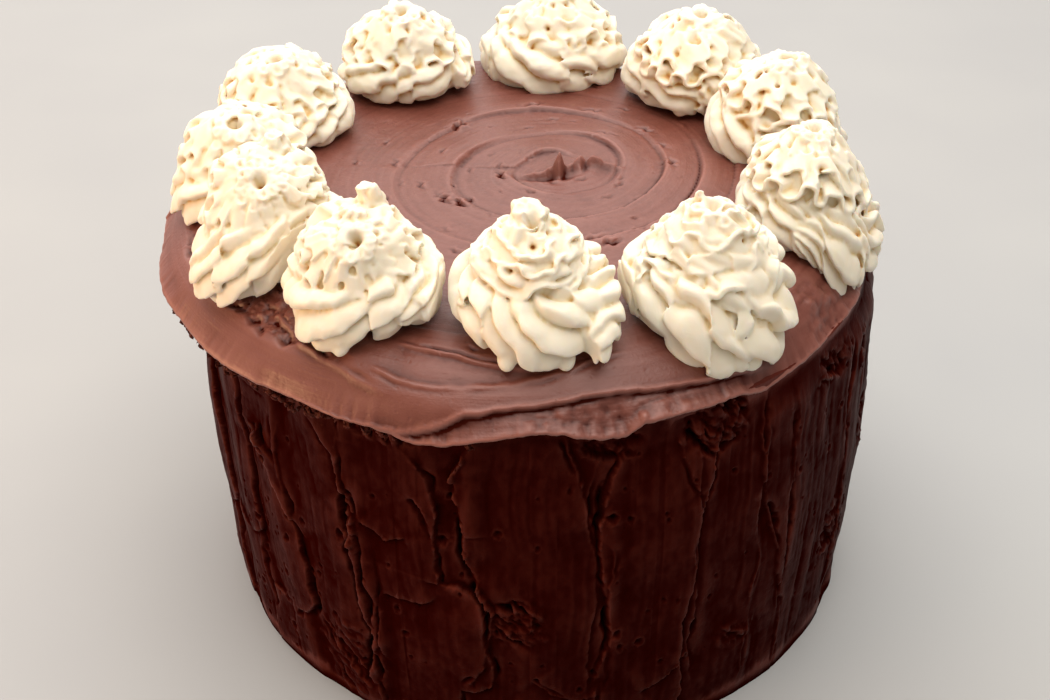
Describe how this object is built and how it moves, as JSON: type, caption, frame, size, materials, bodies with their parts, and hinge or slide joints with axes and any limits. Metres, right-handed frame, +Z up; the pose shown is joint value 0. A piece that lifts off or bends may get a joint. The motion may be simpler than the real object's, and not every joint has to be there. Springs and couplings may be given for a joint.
{
  "type": "frosted layer cake with piped rosettes",
  "caption": "Tall round layer cake, frosted in chocolate with knife strokes up its wall and a spiral on top, and ringed with piped cream rosettes.",
  "frame": {"origin": "centre of the cake's flat base", "axes": "+Z up, -Y towards the front, +X to the right as seen from the front"},
  "size_m": [0.2042, 0.2031, 0.1534],
  "materials": {
    "chocolate_frosting": "satin, knife-spread chocolate frosting, darker on the wall than on the top",
    "buttercream": "soft satin, piped cream with a faint glow in its folds"
  },
  "bodies": {
    "root": {"frosted_cake": "chocolate_frosting", "rosette_01": "buttercream", "rosette_02": "buttercream", "rosette_03": "buttercream", "rosette_04": "buttercream", "rosette_05": "buttercream", "rosette_06": "buttercream", "rosette_07": "buttercream", "rosette_08": "buttercream", "rosette_09": "buttercream", "rosette_10": "buttercream", "rosette_11": "buttercream"}
  },
  "joints": []
}
